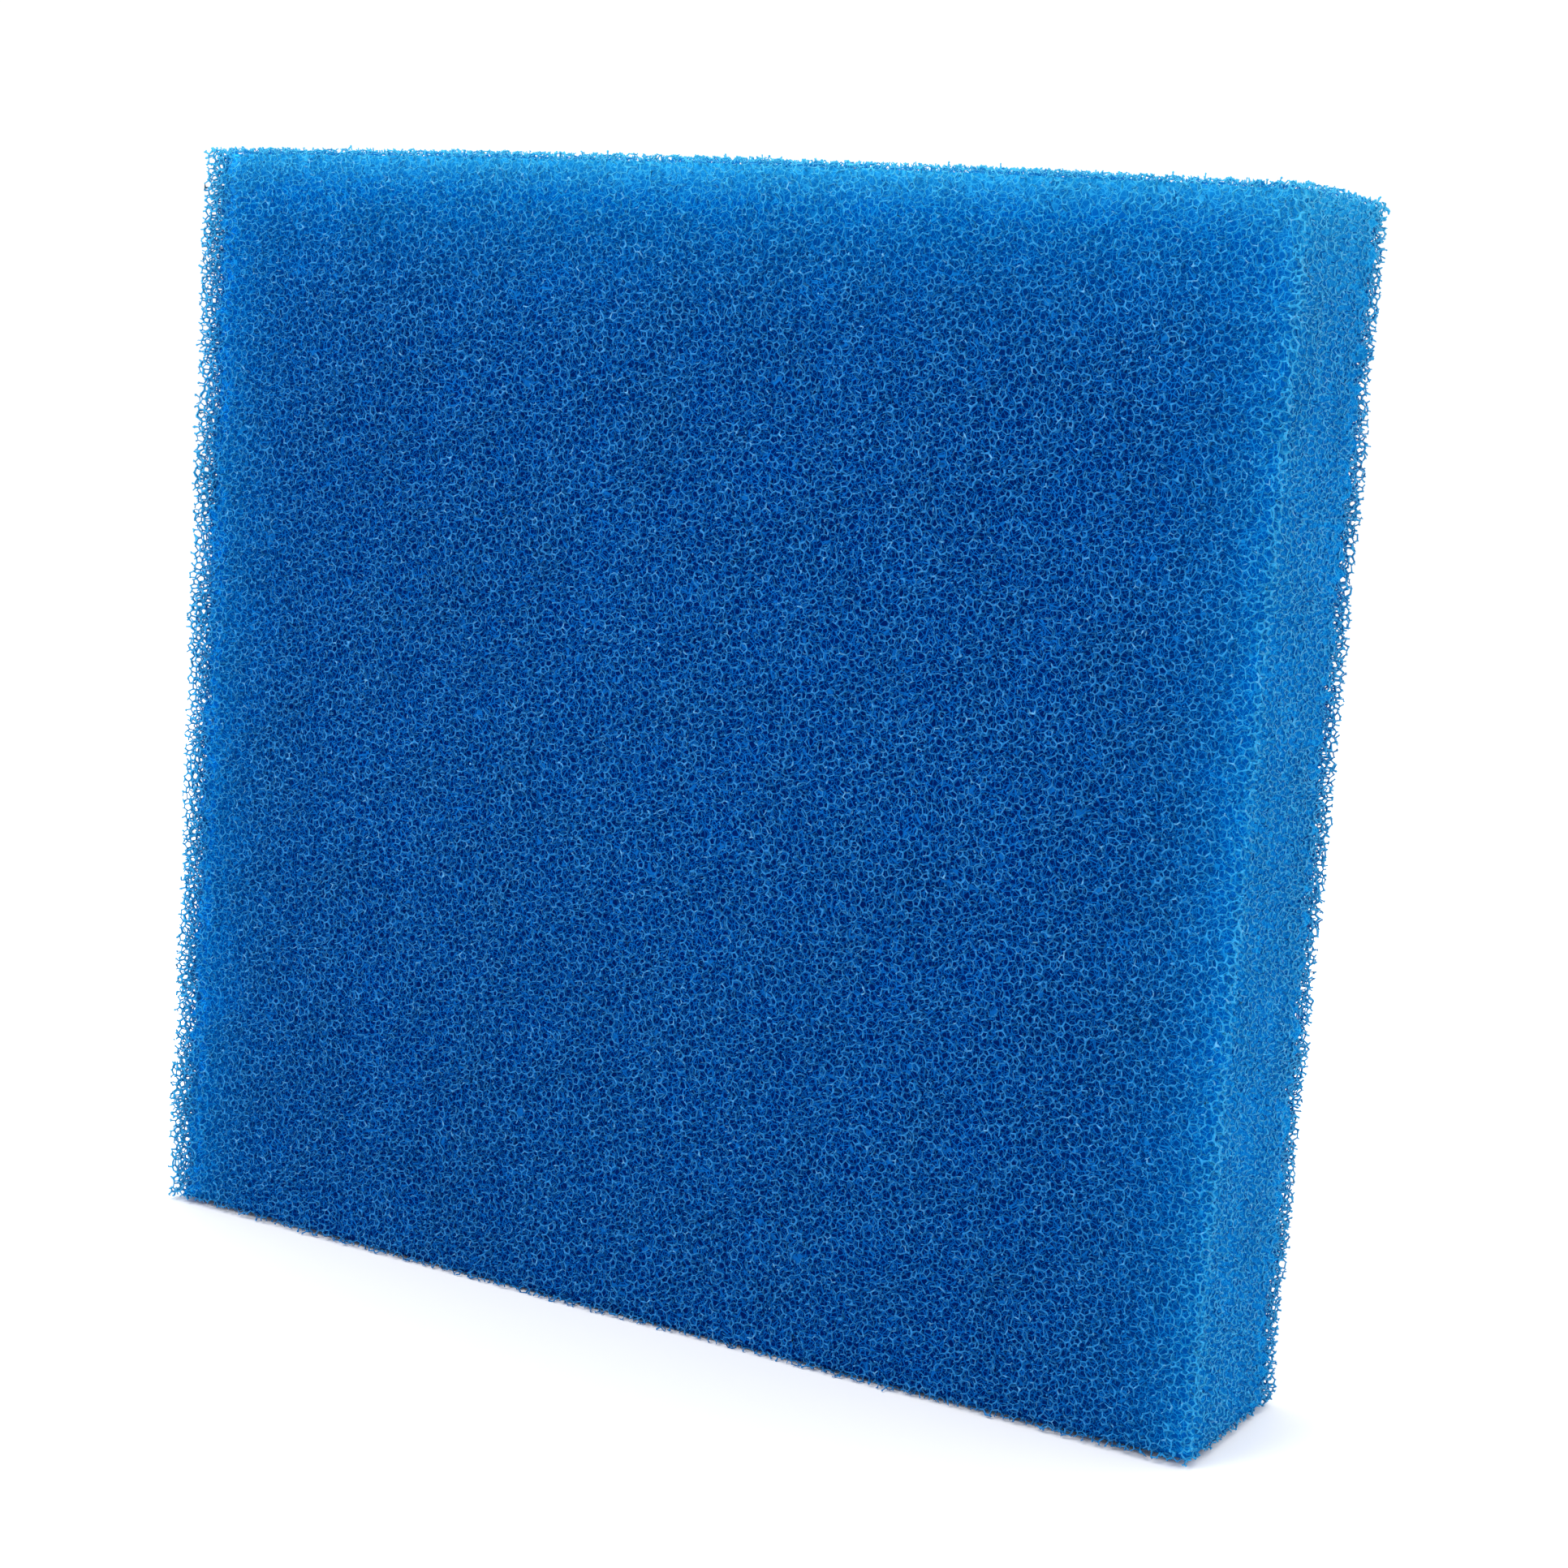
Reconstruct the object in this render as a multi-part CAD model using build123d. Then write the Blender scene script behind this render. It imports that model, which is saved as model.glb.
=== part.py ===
from build123d import *
import os

# Filter sponge: one slab of reticulated (open-cell) polyurethane foam, cut on all six sides.
# Frame: +X across the slab's width, +Y through its thickness (the front face is -Y), +Z up.
# The origin is the middle of the bottom face, on the surface that the slab stands on.
# All lengths are in millimetres.

width = 275.0
height = 260.0
thickness = 50.0


def make_foam_block():
    """The slab, as one closed solid with the outer size of the cut foam."""
    slab = Box(width, thickness, height)
    return Pos(0, 0, height / 2) * slab


def write_node(shape, name):
    """Write one node's solid to parts/NAME.step."""
    shape.label = name
    export_step(shape, f"parts/{name}.step")


def main():
    os.makedirs("parts", exist_ok=True)
    write_node(make_foam_block(), "foam_block")


main()
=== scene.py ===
import math
import bmesh
import bpy
import numpy as np
from itertools import combinations
from mathutils import Matrix, Vector, noise


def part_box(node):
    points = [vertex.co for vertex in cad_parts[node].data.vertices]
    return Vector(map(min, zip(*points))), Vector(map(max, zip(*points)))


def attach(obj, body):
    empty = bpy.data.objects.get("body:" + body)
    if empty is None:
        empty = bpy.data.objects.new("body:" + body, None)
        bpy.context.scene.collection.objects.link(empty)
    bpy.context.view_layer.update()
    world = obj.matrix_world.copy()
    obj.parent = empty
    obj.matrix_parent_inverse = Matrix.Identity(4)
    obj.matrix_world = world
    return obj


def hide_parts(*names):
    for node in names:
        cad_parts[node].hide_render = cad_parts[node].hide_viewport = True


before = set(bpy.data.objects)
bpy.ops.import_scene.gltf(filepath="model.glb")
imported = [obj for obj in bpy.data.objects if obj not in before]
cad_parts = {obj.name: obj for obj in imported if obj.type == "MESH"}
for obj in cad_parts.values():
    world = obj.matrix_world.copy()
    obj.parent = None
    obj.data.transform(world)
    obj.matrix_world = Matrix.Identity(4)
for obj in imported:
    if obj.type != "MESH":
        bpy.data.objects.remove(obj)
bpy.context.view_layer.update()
blockLow, blockHigh = (np.array(corner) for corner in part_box("foam_block"))
blockSize = blockHigh - blockLow
blockMiddle = (blockLow + blockHigh) / 2

# The slab is one piece of reticulated foam: a skeleton of thin struts that meet four at a time.
# The outer cells are modelled strut by strut, and a painted core stands for the cells behind them, its
# holes painted dark as the shade deep in the foam.
# Lengths are in metres. The front face looks along -Y, and the slab stands on its bottom face.
foam = {
    "cellSize": 0.00221,        # cube root of one cell's volume: medium to coarse filter foam
    "strutRadius": 0.000182,    # from a joint's middle to its corners
    "radiusSpread": 0.28,       # how unlike the joints are in thickness
    "radiusLimits": (0.7, 2.2),
    "edgeGain": 0.25,           # the struts are up to this share thicker in the slab's upright edges
    "edgeEnds": 1.5,            # which ends where fromCorner reaches this
    "stray": 0.17,              # how far a cell's middle strays from even packing, in cell sizes
    "driftWaves": 6,            # slow drift that makes some patches coarser than others
    "driftSize": 0.0004,
    "driftLength": 0.020,
    "driftRates": (0.5, 1.2),   # how often a wave repeats, beside once in driftLength
    "tornEnd": 0.00018,         # how far a cut strut usually stands proud or falls short
    "tornLimits": (-1, 2),
    "knotShare": 0.03,          # this share of the cut struts stand out further and end in a small knot
    "knotReach": 0.0008,
    "knotLeast": 0.3,           # the least that one stands out, as a share of knotReach
    "knotRadius": 0.00024,
    "knotSpread": 0.3,          # a knot is up to this share larger or smaller
    "grainTurn": (27, 42, 63),  # degrees, picked so that rows of cells make few long bands on the faces
    "seed": 11,
}
skin = {  # how deep the open struts go under each face before the core begins
    "front": 0.0022,
    "back": 0.0006,
    "side": 0.0012,
    "top": 0.0014,
    "bottom": 0.0007,
    "full": 0.0009,             # down to here every strut is there
    "deepShare": 0.26,          # and further down only this share of them
    "cornerX": 0.0085,          # the core's upright edges are cut back this far, where light shows through
    "cornerY": 0.0120,
    "closedCorner": 0.38,       # the front right and back left ones are cut back only this share of it
}
cut = {  # soft foam is never cut quite flat
    "topBow": 0.0015,           # how much lower the top is at its ends than in its middle
    "topProud": 0.0005,         # how far its middle stands above the nominal height
    "bottomBow": 0.0012,
    "wave": 0.0003,             # slow waves on every face but the bottom
    "waveLength": 0.07,
    "waveBend": 2.0,            # how far the waves are pushed sideways on their way up
    "waveRise": 0.7,            # how often they repeat on the way up, beside once in waveLength
}
randomness = np.random.default_rng(foam["seed"])


def packedUnit():
    # eight cells to a cube, packed so that nearly every window between two cells has five sides
    middles = np.array([
        (0, 0, 0), (0.5, 0.5, 0.5), (0.25, 0, 0.5), (0.75, 0, 0.5),
        (0.5, 0.25, 0), (0.5, 0.75, 0), (0, 0.5, 0.25), (0, 0.5, 0.75)])
    touching = 0.65  # two cells closer than this share a window
    hair = 1e-6      # so that a place on a unit's border is always counted in the same unit
    steps = [np.array((i, j, k)) for i in (-1, 0, 1) for j in (-1, 0, 1) for k in (-1, 0, 1)]
    cells = [(site, tuple(step)) for step in steps for site in range(len(middles))]
    place = {cell: middles[cell[0]] + cell[1] for cell in cells}

    def near(one, other):
        return 0 < np.linalg.norm(place[one] - place[other]) < touching

    def homeStep(group):
        return np.floor(sum(middles[site] + step for site, step in group) / len(group) + hair).astype(int)

    def moved(group, step):
        return tuple(sorted((site, tuple(int(v) for v in np.array(old) - step)) for site, old in group))

    joints = set()
    for site in range(len(middles)):
        home = (site, (0, 0, 0))
        around = [cell for cell in cells if near(home, cell)]
        for trio in combinations(around, 3):
            if all(near(one, other) for one, other in combinations(trio, 2)):
                four = (home, *trio)
                joints.add(moved(four, homeStep(four)))
    joints = sorted(joints)
    windows = {}
    for number, four in enumerate(joints):
        for slot in range(4):
            three = four[:slot] + four[slot + 1:]
            step = homeStep(three)
            windows.setdefault(moved(three, step), []).append((number, slot, step))
    struts = []
    for (jointA, slotA, stepA), (jointB, slotB, stepB) in windows.values():
        struts.append((jointA, slotA, jointB, slotB, stepA - stepB))
    return middles, joints, struts


def depthInside(points):
    # distance in from the left, right, front, back, bottom and top, with their slight bow and waves
    across = (points[:, 0] - blockMiddle[0]) / (blockSize[0] / 2)
    phase = points * (2 * math.pi / cut["waveLength"])
    wave = cut["wave"] * np.sin(phase[:, 0] + cut["waveBend"] * np.sin(phase[:, 2]))
    wave = wave * np.cos(phase[:, 2] * cut["waveRise"] + phase[:, 1])
    return np.stack([
        points[:, 0] - blockLow[0] + wave,
        blockHigh[0] - points[:, 0] + wave,
        points[:, 1] - blockLow[1] + wave,
        blockHigh[1] - points[:, 1] + wave,
        points[:, 2] - blockLow[2] - cut["bottomBow"] * across ** 2,
        blockHigh[2] + cut["topProud"] - cut["topBow"] * across ** 2 - points[:, 2] + wave], axis=1)


def coreBox():
    low = blockLow + (skin["side"], skin["front"], skin["bottom"])
    high = blockHigh - (skin["side"], skin["back"], skin["top"])
    return low, high


coreDepths = np.array([skin[face] for face in ("side", "side", "front", "back", "bottom", "top")])


def cornerShare(points):
    # the front left and back right edges are open the deepest
    x, y = (points - blockMiddle)[:, :2].T
    return np.where(x * y > 0, 1.0, skin["closedCorner"])


def fromCorner(points):
    # 0 at the slab's upright edges, 1 where the core's cut-back corners begin
    fromSide, fromFace = (blockSize / 2 - np.abs(points - blockMiddle))[:, :2].T
    return (fromSide / skin["cornerX"] + fromFace / skin["cornerY"]) / cornerShare(points)


def outsideCore(points):
    # above 0 outside the core, which is a box with its four upright edges cut off slantwise
    beyond = (coreDepths - depthInside(points)).max(axis=1)
    steep = math.hypot(1 / skin["cornerX"], 1 / skin["cornerY"])
    return np.maximum(beyond, (1 - fromCorner(points)) * cornerShare(points) / steep)


def packedCentres(middles):
    # the cells' middles, on a grid of turned units that covers the slab with some to spare all round
    unit = 2 * foam["cellSize"]  # a unit is two cells wide, deep and high
    spare = 3
    turn = Matrix.Identity(3)
    for degrees, axis in zip(foam["grainTurn"], "XYZ"):
        turn = Matrix.Rotation(math.radians(degrees), 3, axis) @ turn
    turn = np.array(turn)
    corners = np.array([(x, y, z) for x in (-1, 1) for y in (-1, 1) for z in (-1, 1)]) * (blockSize / 2)
    reach = np.abs(corners @ turn).max(axis=0) / unit
    count = 2 * (np.ceil(reach).astype(int) + spare)
    grid = np.stack(np.meshgrid(*[np.arange(n) for n in count], indexing="ij"), axis=-1)
    stray = randomness.normal(0, foam["stray"] / 2, (*count, len(middles), 3))
    centres = (grid[..., None, :] - count / 2 + middles + stray) * unit
    centres = centres @ turn.T
    drift = np.zeros_like(centres)
    for _ in range(foam["driftWaves"]):
        way = randomness.normal(size=3)
        push = randomness.normal(size=3)
        rate = randomness.uniform(*foam["driftRates"])
        way *= 2 * math.pi / foam["driftLength"] / np.linalg.norm(way) * rate
        push *= foam["driftSize"] / np.linalg.norm(push)
        drift += push * np.sin(centres @ way + randomness.uniform(0, 2 * math.pi))[..., None]
    return grid, centres + (drift + blockMiddle)


def varyJoints(places):
    # how thick each joint is, and how a strut ends that is cut on its way there
    shape = places.shape[:2]
    thickness = np.exp(foam["radiusSpread"] * randomness.normal(size=shape)).clip(*foam["radiusLimits"])
    inEdge = (foam["edgeEnds"] - fromCorner(places.reshape(-1, 3)).reshape(shape)).clip(0, 1)
    thickness *= 1 + foam["edgeGain"] * inEdge
    torn = randomness.normal(size=shape).clip(*foam["tornLimits"]) * foam["tornEnd"]
    knotted = randomness.random(shape) < foam["knotShare"]
    torn[knotted] = foam["knotReach"] * randomness.uniform(foam["knotLeast"], 1.0, knotted.sum())
    return thickness, torn, knotted


def growSkeleton():
    middles, joints, struts = packedUnit()
    print("one packed unit:", len(joints), "joints,", len(struts), "struts")
    grid, centres = packedCentres(middles)
    count = np.array(grid.shape[:3])
    stride = np.array([count[1] * count[2], count[2], 1])
    home = grid.reshape(-1, 3) @ stride

    # the units that can hold a strut of the open skin, and a wider set that holds their neighbours too
    border = 2  # units next to the grid's rim lack neighbours
    inner = np.all((grid >= border) & (grid < count - border), axis=-1).ravel()
    unitMiddle = centres.mean(axis=3).reshape(-1, 3)
    faceDepth = depthInside(unitMiddle).min(axis=1)
    skinDepth = outsideCore(unitMiddle)
    halfDiagonal = 1.3  # of a unit, with room to spare
    margin = 2 * foam["cellSize"] * halfDiagonal
    wanted = inner & (faceDepth > -margin) & (skinDepth > -margin)
    wider = inner & (faceDepth > -2 * margin) & (skinDepth > -2 * margin)
    slotOf = np.full(len(home), -1)
    slotOf[home[wider]] = np.arange(wider.sum())

    # a joint is in the middle of its four cells
    flatCentres = centres.reshape(-1, 3)
    places = np.zeros((wider.sum(), len(joints), 3))
    for number, four in enumerate(joints):
        for site, step in four:
            cell = (home[wider] + np.array(step) @ stride) * len(middles) + site
            places[:, number] += flatCentres[cell] / 4
    print("joints placed:", places.shape[0] * places.shape[1])

    # which joint each slot of a joint leads to
    leadsTo = np.zeros((len(joints), 4), int)
    leadStep = np.zeros((len(joints), 4), int)
    for jointA, slotA, jointB, slotB, step in struts:
        leadsTo[jointA, slotA], leadStep[jointA, slotA] = jointB, step @ stride
        leadsTo[jointB, slotB], leadStep[jointB, slotB] = jointA, -(step @ stride)
    thickness, torn, knotted = varyJoints(places)
    return {"places": places, "wanted": home[wanted], "unitOf": home[wider], "slotOf": slotOf,
            "struts": struts, "stride": stride, "leadsTo": leadsTo, "leadStep": leadStep,
            "thickness": thickness, "torn": torn, "knotted": knotted}


def pickStruts(web):
    # one row per strut: unit, joint and slot of its inner end, then of its other end, which may be cut off
    rows = []
    for jointA, slotA, jointB, slotB, step in web["struts"]:
        unitA = web["slotOf"][web["wanted"]]
        unitB = web["slotOf"][web["wanted"] + step @ web["stride"]]
        unitA, unitB = unitA[unitB >= 0], unitB[unitB >= 0]
        endA, endB = web["places"][unitA, jointA], web["places"][unitB, jointB]
        insideA, insideB = (depthInside(end).min(axis=1) > 0 for end in (endA, endB))
        middle = (endA + endB) / 2
        shown = outsideCore(middle) > 0
        sparse = (depthInside(middle).min(axis=1) > skin["full"]) & (fromCorner(middle) > 1)
        shown &= ~sparse | (randomness.random(len(middle)) < skin["deepShare"])
        same = np.ones(len(unitA), int)
        row = np.stack([unitA, same * jointA, same * slotA, unitB, same * jointB, same * slotB], axis=1)
        rows.append(row[shown & insideA])
        rows.append(row[shown & insideB & ~insideA][:, [3, 4, 5, 0, 1, 2]])
    rows = np.concatenate(rows)
    print("struts kept:", len(rows))
    return rows


def jointCorners(web, unit, joint, middle=None):
    # a joint is a small four-cornered solid, and each of its faces looks along one strut
    centre = web["places"][unit, joint]
    nextUnit = web["slotOf"][web["unitOf"][unit][:, None] + web["leadStep"][joint]]
    ways = web["places"][nextUnit, web["leadsTo"][joint]] - centre[:, None]
    ways /= np.linalg.norm(ways, axis=2, keepdims=True)
    size = foam["strutRadius"] * web["thickness"][unit, joint]
    return (centre if middle is None else middle)[:, None] - ways * size[:, None, None]


otherThree = np.array([(1, 2, 3), (0, 2, 3), (0, 1, 3), (0, 1, 2)])


def facing(points, ring, way):
    # turns each ring of three so that it runs anticlockwise seen from where way points
    side = np.cross(points[ring[:, 1]] - points[ring[:, 0]], points[ring[:, 2]] - points[ring[:, 0]])
    back = (side * way).sum(axis=1) < 0
    ring[back] = ring[back][:, ::-1]
    return ring


def cutEnds(web, rows):
    # which struts a cut face severs, and where each one then ends
    unitA, jointA, _, unitB, jointB, _ = rows.T
    endA, endB = web["places"][unitA, jointA], web["places"][unitB, jointB]
    depthA, depthB = depthInside(endA).min(axis=1), depthInside(endB).min(axis=1)
    length = np.linalg.norm(endB - endA, axis=1)
    nearlyNone = 1e-9
    shortest, longest = 0.25, 1.5  # shares of the whole strut
    share = depthA / np.maximum(depthA - depthB, nearlyNone) + web["torn"][unitB, jointB] / length
    ends = endA + (endB - endA) * share.clip(shortest, longest)[:, None]
    lowest = blockLow[2] + foam["knotRadius"] * (1 + foam["knotSpread"])  # a knot rests on the floor
    ends[:, 2] = ends[:, 2].clip(lowest)
    return depthB <= 0, ends


def strutMesh(name, web, rows):
    unitA, jointA, slotA, unitB, jointB, slotB = rows.T
    perUnit = web["places"].shape[1]
    endA, endB = web["places"][unitA, jointA], web["places"][unitB, jointB]
    severed, stub = cutEnds(web, rows)

    # struts that meet share their joint's corners, and a severed one gets an end of its own
    idA = unitA * perUnit + jointA
    idB = unitB * perUnit + jointB
    shared, place = np.unique(np.concatenate([idA, idB[~severed]]), return_inverse=True)
    atA = place[:len(rows)]
    atB = np.empty(len(rows), int)
    atB[~severed] = place[len(rows):]
    atB[severed] = len(shared) + np.arange(severed.sum())
    corners = np.concatenate([
        jointCorners(web, shared // perUnit, shared % perUnit),
        jointCorners(web, unitB[severed], jointB[severed], stub[severed])])
    points = corners.reshape(-1, 3)
    points[:, 2] = points[:, 2].clip(blockLow[2])

    # three sides, with the far ring turned to where they twist least
    way = endB - endA
    ringA = facing(points, atA[:, None] * 4 + otherThree[slotA], way)
    ringB = facing(points, atB[:, None] * 4 + otherThree[slotB], way)
    twists = np.stack([np.roll(ringB, -shift, axis=1) for shift in range(3)])
    stretch = ((points[ringA][None] - points[twists]) ** 2).sum(axis=(2, 3))
    ringB = twists[stretch.argmin(axis=0), np.arange(len(rows))]
    sides = [np.stack([ringA[:, i], ringA[:, (i + 1) % 3], ringB[:, (i + 1) % 3], ringB[:, i]], axis=1)
             for i in range(3)]

    # the faces of a joint that no strut leaves from are closed, and a lone end is closed with one face
    bare = np.ones((len(corners), 4), bool)
    bare[atA, slotA] = False
    bare[atB, slotB] = False
    lone = bare.sum(axis=1) == 3
    joint, slot = np.nonzero(bare & ~lone[:, None])
    caps = joint[:, None] * 4 + otherThree[slot]
    caps = facing(points, caps, points[caps].mean(axis=1) - points[joint * 4 + slot])
    caps = np.concatenate([caps, ringA[lone[atA]][:, ::-1], ringB[lone[atB]]])
    quads = np.concatenate(sides)
    used, place = np.unique(np.concatenate([quads.ravel(), caps.ravel()]), return_inverse=True)
    fours, threes = place[:quads.size].reshape(-1, 4), place[quads.size:].reshape(-1, 3)
    return meshPiece(name, points[used], fours, threes)


def meshPiece(name, points, quads, triangles):
    mesh = bpy.data.meshes.new(name)
    mesh.vertices.add(len(points))
    mesh.vertices.foreach_set("co", points.astype(np.float32).ravel())
    turns = np.concatenate([quads.ravel(), triangles.ravel()])
    mesh.loops.add(len(turns))
    mesh.loops.foreach_set("vertex_index", turns.astype(np.int32))
    starts = np.concatenate([np.arange(len(quads)) * 4, quads.size + np.arange(len(triangles)) * 3])
    mesh.polygons.add(len(starts))
    mesh.polygons.foreach_set("loop_start", starts.astype(np.int32))
    mesh.update(calc_edges=True)
    mesh.shade_smooth()
    piece = bpy.data.objects.new(name, mesh)
    bpy.context.collection.objects.link(piece)
    print(name, 2 * len(quads) + len(triangles), "triangles")
    return piece


def growFoam(material):
    web = growSkeleton()
    rows = pickStruts(web)
    middle = (web["places"][rows[:, 0], rows[:, 1]] + web["places"][rows[:, 3], rows[:, 4]]) / 2
    depth = depthInside(middle)
    zone = depth.argmin(axis=1)
    almostOne = 0.999  # keeps the far end in the last column or floor
    along = ((middle - blockLow) / blockSize).clip(0, almostOne)
    pieces = []
    # each face's column in depthInside, and into how many pieces it is split across and up
    plan = {"left": (0, 1, 1), "right": (1, 1, 1), "front": (2, 3, 2), "back": (3, 2, 2),
            "bottom": (4, 1, 1), "top": (5, 1, 1)}
    for side, (number, columns, floors) in plan.items():
        for column in range(columns):
            for level in range(floors):
                here = (zone == number) & ((along[:, 0] * columns).astype(int) == column)
                here &= (along[:, 2] * floors).astype(int) == level
                name = f"foam_{side}" + (f"_{column + 1}{level + 1}" if columns * floors > 1 else "")
                piece = strutMesh(name, web, rows[here])
                piece.data.materials.append(material)
                pieces.append(piece)
    severed, stub = cutEnds(web, rows)
    pieces.append(growKnots(stub[severed & web["knotted"][rows[:, 3], rows[:, 4]]], material))
    return pieces


def knotTree():
    # a small round knot on every point, each a little different in size
    tree = bpy.data.node_groups.new("knots_on_points", "GeometryNodeTree")
    sockets = {}
    for name, kind, way in (("Points", "NodeSocketGeometry", "INPUT"),
                            ("Radius", "NodeSocketFloat", "INPUT"),
                            ("Spread", "NodeSocketFloat", "INPUT"),
                            ("Seed", "NodeSocketInt", "INPUT"),
                            ("Material", "NodeSocketMaterial", "INPUT"),
                            ("Knots", "NodeSocketGeometry", "OUTPUT")):
        sockets[name] = tree.interface.new_socket(name, in_out=way, socket_type=kind).identifier
    given = tree.nodes.new("NodeGroupInput").outputs
    ball = addNode(tree, "GeometryNodeMeshIcoSphere", {}, {"Radius": given["Radius"], "Subdivisions": 1})
    least = addNode(tree, "ShaderNodeMath", {"operation": "SUBTRACT"}, {0: 1.0, 1: given["Spread"]})
    most = addNode(tree, "ShaderNodeMath", {"operation": "ADD"}, {0: 1.0, 1: given["Spread"]})
    size = addNode(tree, "FunctionNodeRandomValue", {"data_type": "FLOAT"},
                   {2: least, 3: most, "Seed": given["Seed"]})
    placed = addNode(tree, "GeometryNodeInstanceOnPoints", {},
                     {"Points": given["Points"], "Instance": ball, "Scale": size.outputs[1]})
    real = addNode(tree, "GeometryNodeRealizeInstances", {}, {"Geometry": placed})
    smooth = addNode(tree, "GeometryNodeSetShadeSmooth", {}, {"Geometry": real})
    dyed = addNode(tree, "GeometryNodeSetMaterial", {}, {"Geometry": smooth, "Material": given["Material"]})
    addNode(tree, "NodeGroupOutput", {}, {"Knots": dyed})
    return tree, sockets


def growKnots(points, material):
    tree, sockets = knotTree()
    seeds = bpy.data.objects.new("knot_points", bpy.data.meshes.new("knot_points"))
    seeds.data.from_pydata(points.tolist(), [], [])
    bpy.context.collection.objects.link(seeds)
    modifier = seeds.modifiers.new("knots", "NODES")
    modifier.node_group = tree
    for name, value in (("Radius", foam["knotRadius"]), ("Spread", foam["knotSpread"]),
                        ("Seed", foam["seed"]), ("Material", material)):
        modifier[sockets[name]] = value
    evaluated = seeds.evaluated_get(bpy.context.evaluated_depsgraph_get())
    mesh = bpy.data.meshes.new_from_object(evaluated)
    seeds.modifiers.remove(modifier)
    bpy.data.objects.remove(seeds)
    knots = bpy.data.objects.new("foam_knots", mesh)
    bpy.context.collection.objects.link(knots)
    print("foam_knots", sum(len(face.vertices) - 2 for face in mesh.polygons), "triangles")
    return knots


def rgb(code):
    # sRGB hex to linear
    values = [int(code[i:i + 2], 16) / 255 for i in (1, 3, 5)]
    return [v / 12.92 if v <= 0.04045 else ((v + 0.055) / 1.055) ** 2.4 for v in values] + [1]


def addNode(tree, kind, settings={}, links={}):
    # a link's value is a socket, a node whose first output is meant, or a plain value
    node = tree.nodes.new(kind)
    for name, value in settings.items():
        setattr(node, name, value)
    for socket, value in links.items():
        if isinstance(value, bpy.types.Node):
            value = value.outputs[0]
        if isinstance(value, bpy.types.NodeSocket):
            tree.links.new(value, node.inputs[socket])
        else:
            node.inputs[socket].default_value = value
    return node


def newMaterial(name):
    material = bpy.data.materials.new(name)
    material.use_nodes = True
    tree = material.node_tree
    return material, tree, tree.nodes["Principled BSDF"]


look = {
    "struts": ["#1674b8", "#188fcf", "#38b6e4"],  # painted edge light: deep in a face, near its edge, at the edge
    # painted shade: the holes deep in the foam are dark where little light gets in, and lighter near the
    # edges
    "holeShade": ["#001e60", "#0056aa", "#1892d2"],
    "webs": ["#0e6ac0", "#1690d6", "#3ebcea"],
    "nearEdge": 0.45,           # how much painted edge light gives the middle one of each three colours
    "fadeTop": 0.0115,          # the painted edge light falls to about a third over this distance
    "fadeSide": 0.0099,
    "leftLightShare": 0.75,          # how bright the painted light at the sides is beside that at the top
    "rightLightShare": 0.57,
    "cornerLightGain": 0.58,         # painted light: how much lighter the core is deep in the open corners, as if lit from two sides
    "mottle": 0.05,             # how much lighter or darker a slow patch is
    "patchesPerMetre": 60.0,    # so one is about 17 mm across
    "patchLimits": (0.3, 0.7),  # where the patches' noise is darkest and lightest
    "paintedGlint": "#78c2f0",         # painted glint: where light catches a strut
    "glintsPerCell": 1.4,       # how often the painted glints' noise repeats across one cell
    "glintLimits": (0.70, 0.85),
    "glintShow": 0.55,
    "roughness": 0.45,
    "specular": 0.22,
    "coreRoughness": 0.9,
}
depthWebs = [  # the painted deeper struts, from the one in most shade, shown dimmer, up, with windows of 1.2 and 1.5 mm
    {"windowsPerMetre": 820.0, "width": 0.050, "show": 0.50, "shift": (0.031, 0.017, 0.011)},
    {"windowsPerMetre": 660.0, "width": 0.042, "show": 0.85, "shift": (0.0, 0.0, 0.0)},
]
webSoftness = 0.6  # how far a painted strut fades out to either side, as a share of its width


def paintedEdgeLight(tree):
    # painted light: 1 at the slab's top, less at its sides, fading to 0 inside, where light comes in
    # through the thin foam and scatters
    place = addNode(tree, "ShaderNodeTexCoord").outputs["Object"]
    axes = addNode(tree, "ShaderNodeSeparateXYZ", {}, {0: place})
    across = addNode(tree, "ShaderNodeMath", {"operation": "ABSOLUTE"}, {0: axes.outputs["X"]})
    toSide = addNode(tree, "ShaderNodeMath", {"operation": "SUBTRACT"},
                     {0: float(blockSize[0] / 2), 1: across})
    toTop = addNode(tree, "ShaderNodeMath", {"operation": "SUBTRACT"},
                    {0: float(blockHigh[2]), 1: axes.outputs["Z"]})
    sideFade = addNode(tree, "ShaderNodeMath", {"operation": "DIVIDE"}, {0: toSide, 1: -look["fadeSide"]})
    topFade = addNode(tree, "ShaderNodeMath", {"operation": "DIVIDE"}, {0: toTop, 1: -look["fadeTop"]})
    fromSide = addNode(tree, "ShaderNodeMath", {"operation": "EXPONENT"}, {0: sideFade})
    fromTop = addNode(tree, "ShaderNodeMath", {"operation": "EXPONENT"}, {0: topFade})
    share = addNode(tree, "ShaderNodeMapRange", {},
                    {"Value": axes.outputs["X"],
                     "From Min": float(blockLow[0]), "From Max": float(blockHigh[0]),
                     "To Min": look["leftLightShare"], "To Max": look["rightLightShare"]})
    side = addNode(tree, "ShaderNodeMath", {"operation": "MULTIPLY"}, {0: fromSide, 1: share})
    # top and side together are never brighter than 1
    both = addNode(tree, "ShaderNodeMath", {"operation": "MULTIPLY"}, {0: fromTop, 1: side})
    total = addNode(tree, "ShaderNodeMath", {"operation": "ADD"}, {0: fromTop, 1: side})
    paintedLight = addNode(tree, "ShaderNodeMath", {"operation": "SUBTRACT"}, {0: total, 1: both})
    return place, paintedLight


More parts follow.
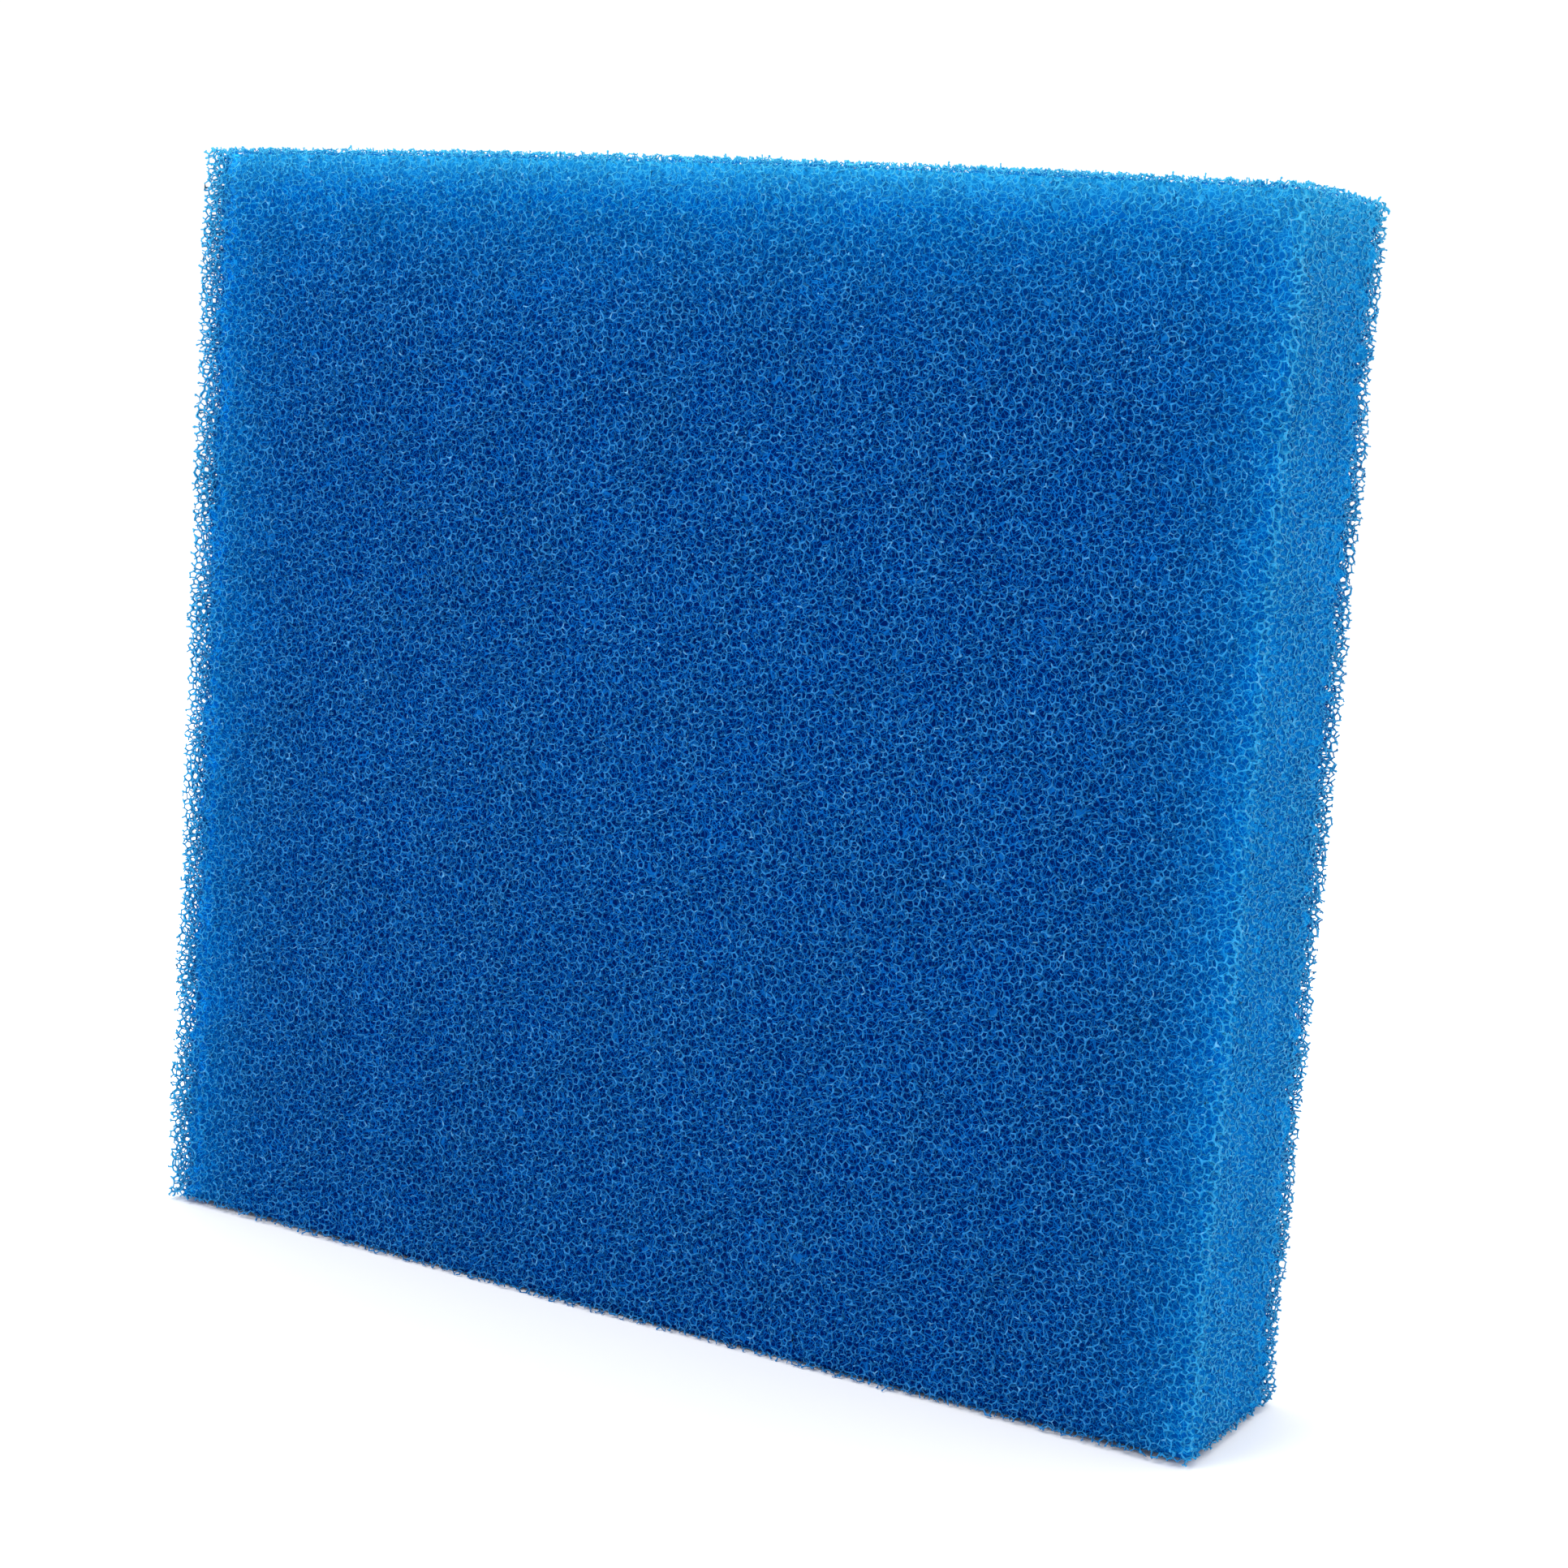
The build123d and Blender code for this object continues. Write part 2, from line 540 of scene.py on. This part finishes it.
def paintedLightColour(tree, paintedLight, codes):
    # the colour for this much painted light, from the three given
    ramp = addNode(tree, "ShaderNodeValToRGB", {}, {"Fac": paintedLight})
    stops = ramp.color_ramp.elements
    stops.new(look["nearEdge"])
    for stop, code in zip(stops, codes):
        stop.color = rgb(code)
    return ramp


def mottled(tree, place, colour):
    # slow light and dark patches, where cells ran a little larger or smaller
    darkest, lightest = look["patchLimits"]
    cloud = addNode(tree, "ShaderNodeTexNoise", {},
                    {"Vector": place, "Scale": look["patchesPerMetre"], "Detail": 2.0})
    shade = addNode(tree, "ShaderNodeMapRange", {},
                    {"Value": cloud, "From Min": darkest, "From Max": lightest,
                     "To Min": 1 - look["mottle"], "To Max": 1 + look["mottle"]})
    patchy = addNode(tree, "ShaderNodeMix", {"data_type": "RGBA", "blend_type": "MULTIPLY"},
                     {0: 1.0, 6: colour, 7: shade})
    return patchy.outputs[2]


def strutFoam():
    # reticulated polyurethane foam, dyed through: smooth thin struts, which have a soft satin light
    material, tree, shader = newMaterial("reticulated_foam_struts")
    # the struts' colour holds painted edge light, lighter toward the top and sides
    place, paintedLight = paintedEdgeLight(tree)
    colour = mottled(tree, place, paintedLightColour(tree, paintedLight, look["struts"]))
    # painted glints: pale spots where light would catch a strut
    dullest, brightest = look["glintLimits"]
    paintedGlint = addNode(tree, "ShaderNodeTexNoise", {},
                    {"Vector": place, "Scale": look["glintsPerCell"] / foam["cellSize"], "Detail": 0.0})
    glintAmount = addNode(tree, "ShaderNodeMapRange", {},
                   {"Value": paintedGlint, "From Min": dullest, "From Max": brightest,
                    "To Min": 0.0, "To Max": look["glintShow"]})
    glinted = addNode(tree, "ShaderNodeMix", {"data_type": "RGBA"},
                      {0: glintAmount, 6: colour, 7: rgb(look["paintedGlint"])})
    tree.links.new(glinted.outputs[2], shader.inputs["Base Color"])
    shader.inputs["Roughness"].default_value = look["roughness"]
    shader.inputs["Specular IOR Level"].default_value = look["specular"]
    return material


def coreFoam():
    # the same foam, too deep to see through: painted deeper struts, lit, over holes painted dark as shade,
    # with no shine
    material, tree, shader = newMaterial("reticulated_foam_depth")
    place, paintedLight = paintedEdgeLight(tree)
    colour = paintedLightColour(tree, paintedLight, look["holeShade"])
    lit = paintedLightColour(tree, paintedLight, look["webs"])
    # painted deeper struts: lit lines laid over the painted shade of the holes
    for web in depthWebs:
        moved = addNode(tree, "ShaderNodeVectorMath", {"operation": "ADD"}, {0: place, 1: web["shift"]})
        cells = addNode(tree, "ShaderNodeTexVoronoi", {"feature": "DISTANCE_TO_EDGE"},
                        {"Vector": moved, "Scale": web["windowsPerMetre"]})
        line = addNode(tree, "ShaderNodeMapRange", {"interpolation_type": "SMOOTHSTEP"},
                       {"Value": cells, "From Min": web["width"] * (1 - webSoftness),
                        "From Max": web["width"] * (1 + webSoftness), "To Min": web["show"], "To Max": 0.0})
        mixed = addNode(tree, "ShaderNodeMix", {"data_type": "RGBA"}, {0: line, 6: colour, 7: lit})
        colour = mixed.outputs[2]
    # painted light deep in the open corners, where the struts in front leave the core in shade
    corner = addNode(tree, "ShaderNodeAttribute", {"attribute_name": "cornerLightWeight"}).outputs["Fac"]
    cornerLight = addNode(tree, "ShaderNodeMath", {"operation": "MULTIPLY_ADD"},
                   {0: corner, 1: look["cornerLightGain"], 2: 1.0})
    cornerLit = addNode(tree, "ShaderNodeMix", {"data_type": "RGBA", "blend_type": "MULTIPLY"},
                     {0: 1.0, 6: mottled(tree, place, colour), 7: cornerLight})
    tree.links.new(cornerLit.outputs[2], shader.inputs["Base Color"])
    shader.inputs["Roughness"].default_value = look["coreRoughness"]
    shader.inputs["Specular IOR Level"].default_value = 0.0
    return material


coreShape = {
    "level": 0.0016,            # height from one ring of points to the next
    "fine": 0.0014,             # distance between a ring's points near the upright edges
    "fineReach": 0.007,
    "coarse": 0.012,            # and along the faces
    "ragged": 0.0026,           # how far the upright edges reach out again in places
    "raggedLength": 0.0022,
    "raggedBias": 0.3,          # above 0, so that more than half of an edge reaches out
    "raggedGain": 1.6,
    "raggedFade": 0.5,          # the raggedness ends where fromCorner is this much past 1
    "cornerLightEnds": 1.2,            # the painted corner light ends where fromCorner reaches this
}


def coreOutline():
    # the core's eight corners seen from above, anticlockwise from the left side's front end
    low, high = coreBox()
    corners = []
    for x, y in ((-1, -1), (1, -1), (1, 1), (-1, 1)):
        share = cornerShare(blockMiddle + [[x, y, 0]])[0]
        alongFace = skin["cornerX"] * (share - skin["front" if y < 0 else "back"] / skin["cornerY"])
        alongSide = skin["cornerY"] * (share - skin["side"] / skin["cornerX"])
        edge = blockLow if x < 0 else blockHigh
        face = blockLow if y < 0 else blockHigh
        onFace = (edge[0] - x * alongFace, (low if y < 0 else high)[1])
        onSide = ((low if x < 0 else high)[0], face[1] - y * alongSide)
        corners += [onSide, onFace] if x * y > 0 else [onFace, onSide]
    return np.array(corners)


def spacedAlong(length):
    # places from 0 to 1, close together near both ends; the last end is left to the next side
    fine, coarse, reach = coreShape["fine"], coreShape["coarse"], coreShape["fineReach"]
    if length < 3 * reach:  # too short for a coarse middle
        return np.linspace(0, 1, max(2, round(length / fine)), endpoint=False)
    near = np.arange(0, reach, fine)
    between = np.linspace(reach, length - reach, round((length - 2 * reach) / coarse) + 1)
    return np.concatenate([near, between, length - near[:0:-1]]) / length


def growCore(material):
    # rings of points up the slab; the upright edges are ragged, as the last cells before the light are
    low, high = coreBox()
    outline = coreOutline()
    ring = np.concatenate([
        start + (end - start) * spacedAlong(np.linalg.norm(end - start))[:, None]
        for start, end in zip(outline, np.roll(outline, -1, axis=0))])
    levels = np.arange(low[2], high[2], coreShape["level"])
    levels = np.append(levels[:-1], high[2])
    points = np.empty((len(levels), len(ring), 3))
    points[..., :2] = ring
    points[..., 2] = levels[:, None]
    points = points.reshape(-1, 3)
    points[:, :2] += raggedReach(points)
    # the core's top and bottom bow with the cut faces
    across = (points[:, 0] - blockMiddle[0]) / (blockSize[0] / 2)
    bottom = low[2] + cut["bottomBow"] * across ** 2
    top = high[2] + cut["topProud"] - cut["topBow"] * across ** 2
    points[:, 2] = bottom + (points[:, 2] - low[2]) / (high[2] - low[2]) * (top - bottom)
    count = len(ring)
    start = np.arange(len(levels) - 1)[:, None] * count
    here, after = np.arange(count), (np.arange(count) + 1) % count
    quads = np.stack([start + here, start + after, start + after + count, start + here + count], axis=-1)
    core = meshPiece("foam_core", points, quads.reshape(-1, 4), np.empty((0, 3), int))
    # the weight of the painted corner light: 0 where the core is near a face, 1 deep in the open corners
    # and less in the closed ones
    fromFace = (blockSize / 2 - np.abs(points - blockMiddle))[:, :2].min(axis=1)
    deep = (fromFace / skin["side"] - 1).clip(0, 1)
    deep *= cornerShare(points)
    core.data.attributes.new("cornerLightWeight", "FLOAT", "POINT").data.foreach_set(
        "value", (deep * (fromCorner(points) < coreShape["cornerLightEnds"])).astype(np.float32))
    closeEnds(core.data, count)
    core.data.materials.append(material)
    return core


def raggedReach(points):
    # how far the core's upright edges reach out from their straight cut, in X and Y
    weight = (1 - (fromCorner(points) - 1) / coreShape["raggedFade"]).clip(0, 1)
    inward = np.sign(blockMiddle - points)[:, :2] / (skin["cornerX"], skin["cornerY"])
    inward /= np.linalg.norm(inward, axis=1, keepdims=True)
    rough = np.array([noise.noise(Vector(point) / coreShape["raggedLength"]) for point in points])
    share = (coreShape["raggedBias"] + coreShape["raggedGain"] * rough).clip(0, 1)
    reach = coreShape["ragged"] * cornerShare(points) * share
    return -inward * (weight * reach)[:, None]


def closeEnds(mesh, count):
    # the first ring and the last ring of points each get an end face
    body = bmesh.new()
    body.from_mesh(mesh)
    body.verts.ensure_lookup_table()
    total = len(body.verts)
    ends = [body.faces.new([body.verts[i] for i in reversed(range(count))]),
            body.faces.new([body.verts[i] for i in range(total - count, total)])]
    bmesh.ops.triangulate(body, faces=ends, ngon_method="BEAUTY")
    body.to_mesh(mesh)
    body.free()


camera = {
    "turn": 29.40,  # degrees round from the front face towards the right side
    "rise": 8.66,
    "roll": 3.89,
    "away": 0.6398,
    "aim": (0.0178, 0.0, -0.0059),  # from the block's middle
    "lens": 65.1,   # millimetres, as is the sensor's width
    "sensor": 36.0,
    "nearest": 0.01,
}


def placeCamera():
    turn, rise, roll = (math.radians(camera[key]) for key in ("turn", "rise", "roll"))
    back = Vector((math.sin(turn) * math.cos(rise), -math.cos(turn) * math.cos(rise), math.sin(rise)))
    right = Vector((0, 0, 1)).cross(back).normalized()
    up = back.cross(right)
    rolledRight = right * math.cos(roll) + up * math.sin(roll)
    rolledUp = up * math.cos(roll) - right * math.sin(roll)
    lens = bpy.data.cameras.new("camera")
    lens.lens = camera["lens"]
    lens.sensor_width = camera["sensor"]
    lens.clip_start = camera["nearest"]
    eye = bpy.data.objects.new("camera", lens)
    bpy.context.collection.objects.link(eye)
    facingWay = Matrix((rolledRight, rolledUp, back)).transposed()
    place = Vector(blockMiddle) + Vector(camera["aim"]) + back * camera["away"]
    eye.matrix_world = Matrix.Translation(place) @ facingWay.to_4x4()
    bpy.context.scene.camera = eye
    print("camera placed")


studio = {
    "floor": "#fbfbfb",
    "floorHalf": 6.0,
    "floorRoughness": 0.9,
    "sky": "#ffffff",
    "skyStrength": 1.08,
    "key": (-0.5, -0.9, 1.3, 0.9, 14.0),  # place x, y, z, size, watts
    "back": (0.5, 0.8, 1.2, 0.9, 7.0),
}


def lightStudio():
    world = bpy.data.worlds.new("studio")
    world.use_nodes = True
    bpy.context.scene.world = world
    background = world.node_tree.nodes["Background"]
    background.inputs["Color"].default_value = rgb(studio["sky"])
    background.inputs["Strength"].default_value = studio["skyStrength"]
    for name in ("key", "back"):
        x, y, z, size, watts = studio[name]
        lamp = bpy.data.lights.new(name, "AREA")
        lamp.shape = "DISK"
        lamp.size = size
        lamp.energy = watts
        holder = bpy.data.objects.new(name, lamp)
        bpy.context.collection.objects.link(holder)
        place = Vector((x, y, z))
        towards = (place - Vector(blockMiddle)).to_track_quat("Z", "Y").to_matrix().to_4x4()
        holder.matrix_world = Matrix.Translation(place) @ towards
    mesh = bpy.data.meshes.new("floor")
    half = studio["floorHalf"]
    corners = [(-half, -half, 0), (half, -half, 0), (half, half, 0), (-half, half, 0)]
    mesh.from_pydata(corners, [], [(0, 1, 2, 3)])
    floor = bpy.data.objects.new("floor", mesh)
    bpy.context.collection.objects.link(floor)
    material, _, shader = newMaterial("paper_sweep")
    shader.inputs["Base Color"].default_value = rgb(studio["floor"])
    shader.inputs["Roughness"].default_value = studio["floorRoughness"]
    mesh.materials.append(material)
    bpy.context.scene.view_settings.view_transform = "Standard"  # white paper stays white
    print("studio lit")


placeCamera()
lightStudio()
struts = growFoam(strutFoam())
core = growCore(coreFoam())
for piece in (core, *struts):
    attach(piece, "root")
    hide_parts("foam_block")
